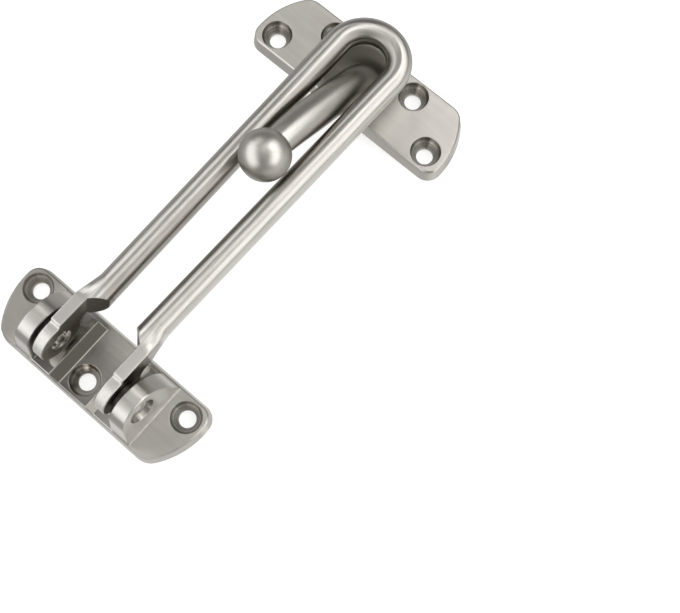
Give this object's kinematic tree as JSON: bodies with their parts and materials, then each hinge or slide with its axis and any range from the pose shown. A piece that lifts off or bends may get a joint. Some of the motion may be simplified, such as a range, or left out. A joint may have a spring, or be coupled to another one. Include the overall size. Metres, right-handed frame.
{
  "type": "swing bar door guard",
  "caption": "Swing bar door guard: U-shaped rod hinged on a base plate with ears, caught on the ball arm of a screwed-on strike plate.",
  "frame": {"origin": "middle of the base plate's back face", "axes": "+X along the plates and the hinge axis, +Y from the hinge towards the bow of the bar, +Z out of the mounting plane"},
  "size_m": [0.0724, 0.1413, 0.0315],
  "materials": {
    "plate_nickel": "satin nickel plating",
    "bar_nickel": "satin nickel plating",
    "arm_nickel": "satin nickel plating",
    "pin_steel": "bright riveted steel",
    "washer_steel": "bright steel"
  },
  "bodies": {
    "base": {"base_plate": "plate_nickel", "pivot_pin_left": "pin_steel", "pivot_pin_right": "pin_steel", "spacer_washer_left": "washer_steel", "spacer_washer_right": "washer_steel"},
    "bar": {"swing_bar": "bar_nickel"},
    "strike": {"strike_plate": "plate_nickel", "ball_arm": "arm_nickel"}
  },
  "joints": [
    {"name": "bar_swing", "type": "hinge", "parent": "base", "child": "bar", "pos_m": [0, -0.00105, 0.0139], "axis": [1, 0, 0], "range_deg": [0, 180]},
    {"name": "strike_slide", "type": "slide", "parent": "bar", "child": "strike", "axis": [0, -0.9995, 0.0305], "range_m": [-0.005, 0.045]}
  ]
}
